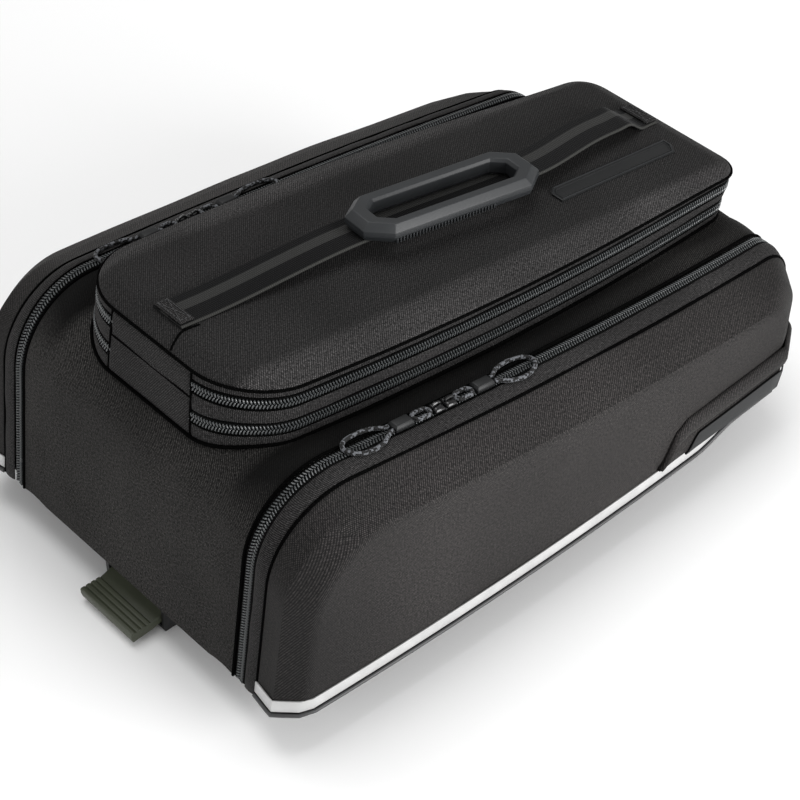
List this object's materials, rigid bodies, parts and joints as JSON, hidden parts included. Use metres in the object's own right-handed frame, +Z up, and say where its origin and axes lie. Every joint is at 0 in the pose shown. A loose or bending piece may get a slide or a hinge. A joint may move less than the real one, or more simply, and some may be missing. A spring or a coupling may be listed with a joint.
{
  "type": "bicycle trunk bag",
  "caption": "Wedge-shaped rack-top bag with zipped lid, hard side pocket shells, strap with rubber grip, and a slide-in rack rail with a thumb release lever.",
  "frame": {"origin": "centre of the rack rail's underside, on the bag's middle plane, halfway along the bag", "axes": "+X to the rear, -X to the release lever at the front, -Y to the near side, +Z up from the rack"},
  "size_m": [0.3958, 0.2726, 0.1723],
  "materials": {
    "twill": "black diagonal-weave polyester twill",
    "shell": "black twill bonded to moulded foam",
    "band": "black plain weave",
    "zip_coil": "black coil zip on woven tape",
    "webbing": "woven webbing with a grey stripe",
    "soft_rubber": "satin dark grey rubber",
    "bare_rubber": "bare black rubber",
    "reflective": "light grey reflective tape",
    "flecked_cord": "black braided cord with pale flecks",
    "zip_metal": "black enamelled zinc",
    "nylon": "black glass-filled nylon",
    "olive_nylon": "olive green moulded nylon",
    "steel": "plain steel"
  },
  "bodies": {
    "bag": {"main_tub": "twill", "lid_panel": "twill", "lid_hinge_upper": "twill", "lid_hinge_lower": "twill", "lid_rim_band": "band", "lid_middle_band": "band", "lid_lower_band": "band", "lid_zip_upper": "zip_coil", "lid_zip_lower": "zip_coil", "carry_strap": "webbing", "strap_anchor_front": "webbing", "strap_anchor_rear": "webbing", "handle_grip": "soft_rubber", "label_patch": "bare_rubber", "lid_slider_near": "zip_metal", "lid_slider_far": "zip_metal", "lid_tab_near": "soft_rubber", "lid_tab_far": "soft_rubber", "rack_rail": "nylon", "mount_plate": "nylon", "lever_bracket": "nylon", "lever_pin": "steel", "side_zip_near": "zip_coil", "side_rim_near": "band", "side_gusset_near": "band", "side_shell_near": "shell", "foot_piping_near": "band", "reflective_strip_near": "reflective", "corner_patch_near": "band", "corner_plate_near": "bare_rubber", "slider_near_front": "zip_metal", "pull_knot_near_front": "flecked_cord", "pull_grip_near_front": "soft_rubber", "pull_loop_near_front": "flecked_cord", "slider_near_rear": "zip_metal", "pull_knot_near_rear": "flecked_cord", "pull_grip_near_rear": "soft_rubber", "pull_loop_near_rear": "flecked_cord", "side_zip_far": "zip_coil", "side_rim_far": "band", "side_gusset_far": "band", "side_shell_far": "shell", "foot_piping_far": "band", "reflective_strip_far": "reflective", "corner_patch_far": "band", "corner_plate_far": "bare_rubber", "slider_far_front": "zip_metal", "pull_knot_far_front": "flecked_cord", "pull_grip_far_front": "soft_rubber", "pull_loop_far_front": "flecked_cord", "slider_far_rear": "zip_metal", "pull_knot_far_rear": "flecked_cord", "pull_grip_far_rear": "soft_rubber", "pull_loop_far_rear": "flecked_cord"},
    "lever": {"release_lever": "olive_nylon"}
  },
  "joints": [
    {"name": "release_hinge", "type": "hinge", "parent": "bag", "child": "lever", "pos_m": [-0.176, 0, 0.0085], "axis": [0, 1, 0], "range_deg": [0, 16], "stiffness_Nm_per_rad": 0.01}
  ]
}
